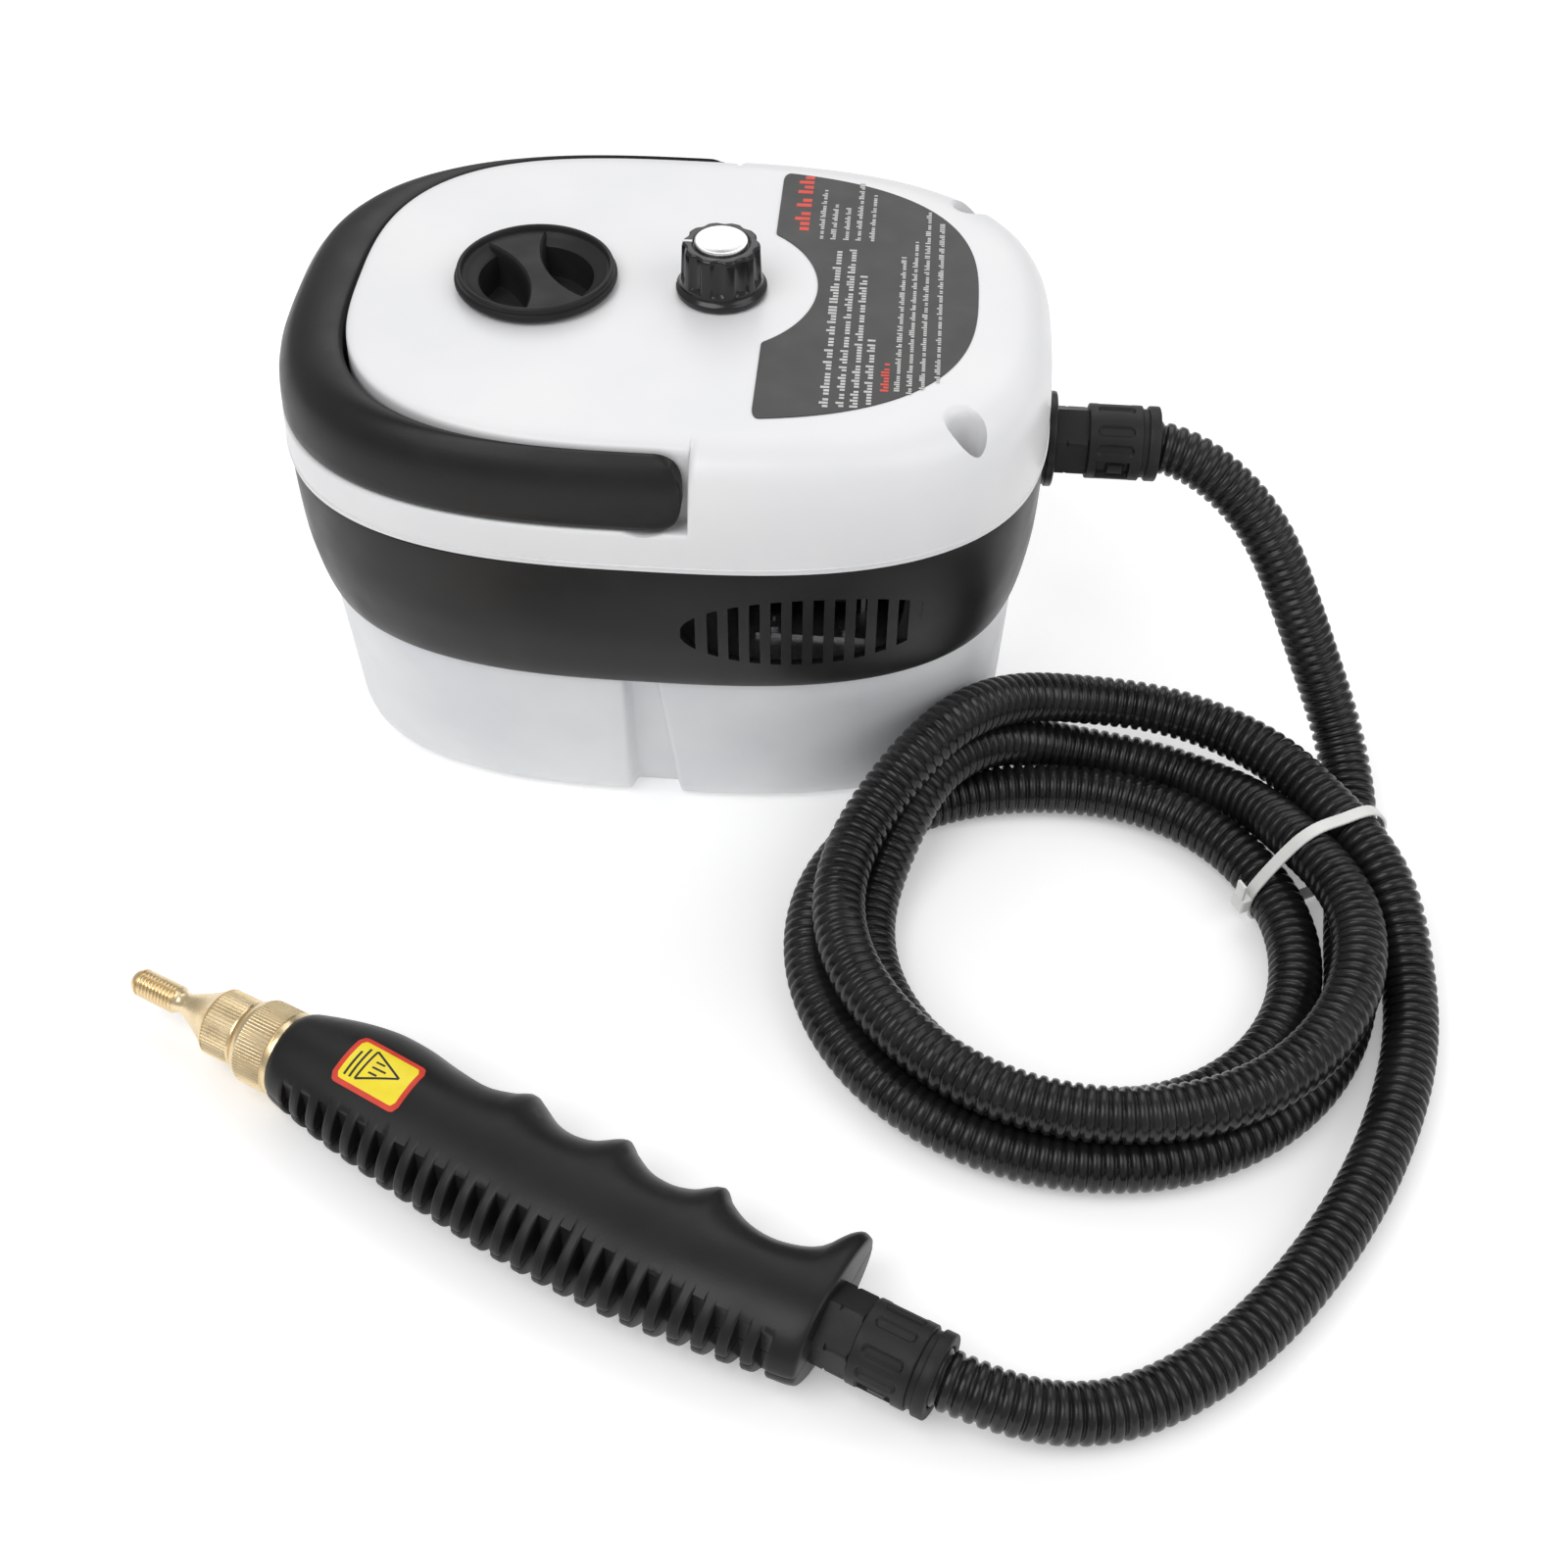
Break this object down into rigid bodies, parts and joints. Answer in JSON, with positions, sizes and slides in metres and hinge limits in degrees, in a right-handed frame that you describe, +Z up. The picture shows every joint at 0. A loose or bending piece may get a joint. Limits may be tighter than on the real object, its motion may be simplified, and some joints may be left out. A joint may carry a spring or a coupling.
{
  "type": "steam cleaner",
  "caption": "Hand-held high-pressure steam cleaner: oval tank unit with folding carry handle, coiled corrugated hose and a black steam gun with a brass nozzle.",
  "frame": {"origin": "centre of the water tank's flat underside, on the surface that the unit stands on", "axes": "+Z up; +X towards the end where the hose leaves the main unit; -Y towards the side with the air vent"},
  "size_m": [0.4423, 0.4449, 0.1928],
  "materials": {
    "white_abs": "smooth moulded white, light sheen",
    "black_abs": "smooth moulded black",
    "black_matte": "fine-textured black",
    "tank_clear": "translucent frosted polymer",
    "hose_black": "corrugated conduit",
    "rubber": "moulded",
    "silicone": "soft",
    "steel": "zinc plated",
    "alu": "cast and machined",
    "brass": "turned and knurled",
    "white_nylon": "translucent nylon",
    "grey_plastic": "moulded",
    "pcb": "lacquered circuit board",
    "label": "printed film",
    "sticker": "printed film"
  },
  "bodies": {
    "main_unit": {"top_cover": "white_abs", "mid_band": "black_abs", "water_tank": "tank_clear", "tank_gasket": "rubber", "deck_plate": "white_nylon", "deck_screws": "steel", "cover_screws": "steel", "filler_neck": "white_nylon", "handle_pin_front": "steel", "handle_pin_rear": "steel", "control_pot": "grey_plastic", "pot_nut": "steel", "label_panel": "label", "control_board": "pcb", "board_spacers": "white_nylon", "board_screws": "steel", "heating_block": "alu", "heater_bracket": "steel", "heater_terminals": "steel", "thermostat": "white_nylon", "thermal_fuse": "brass", "water_pump": "grey_plastic", "pump_bracket": "steel", "bracket_screws": "steel", "suction_tube": "silicone", "suction_filter": "grey_plastic", "pump_outlet_tube": "silicone", "steam_tube": "silicone", "terminal_block": "white_nylon", "wire_harness": "rubber", "power_cord_bush": "rubber", "body_gland": "black_matte", "body_gland_sleeve": "black_matte", "body_gland_locknut": "black_matte", "hose_lead": "hose_black", "hose_coil": "hose_black", "hose_tail": "hose_black", "cable_tie": "white_nylon", "gun_shell_upper": "black_matte", "gun_shell_lower": "black_matte", "gun_screws": "steel", "gun_steam_tube": "brass", "nozzle_collar": "brass", "gun_sticker": "sticker", "gun_gland": "black_matte", "gun_gland_sleeve": "black_matte", "gun_gland_locknut": "black_matte"},
    "carry_handle": {"carry_handle": "black_abs"},
    "cap_seal": {"cap_seal": "silicone"},
    "filler_cap": {"filler_cap": "black_matte"},
    "control_knob": {"knob": "black_matte", "knob_disc": "alu", "control_shaft": "steel"},
    "nozzle_seal": {"nozzle_seal": "silicone"},
    "nozzle": {"nozzle": "brass"}
  },
  "joints": [
    {"name": "handle_swing", "type": "hinge", "parent": "main_unit", "child": "carry_handle", "pos_m": [0.0015, 0, 0.1585], "axis": [0, 1, 0], "range_deg": [0, 95]},
    {"name": "cap_lift", "type": "slide", "parent": "main_unit", "child": "cap_seal", "axis": [0, 0, 1], "range_m": [0, 0.016]},
    {"name": "cap_turn", "type": "hinge", "parent": "cap_seal", "child": "filler_cap", "pos_m": [-0.046, 0, 0.175], "axis": [0, 0, 1], "range_deg": [0, 720]},
    {"name": "knob_turn", "type": "hinge", "parent": "main_unit", "child": "control_knob", "pos_m": [0.018, 0, 0.18], "axis": [0, 0, -1], "range_deg": [0, 270]},
    {"name": "nozzle_lift", "type": "slide", "parent": "main_unit", "child": "nozzle_seal", "axis": [-0.9107, 0.4131, 0], "range_m": [0, 0.00628]},
    {"name": "nozzle_turn", "type": "hinge", "parent": "nozzle_seal", "child": "nozzle", "pos_m": [-0.13132, -0.20661, 0.0165], "axis": [-0.9107, 0.4131, 0], "range_deg": [0, 1440]}
  ],
  "couplings": [
    {"joint": "cap_turn", "follows": "cap_lift", "rad_per_m": 785.4},
    {"joint": "nozzle_turn", "follows": "nozzle_lift", "rad_per_m": 4000}
  ]
}
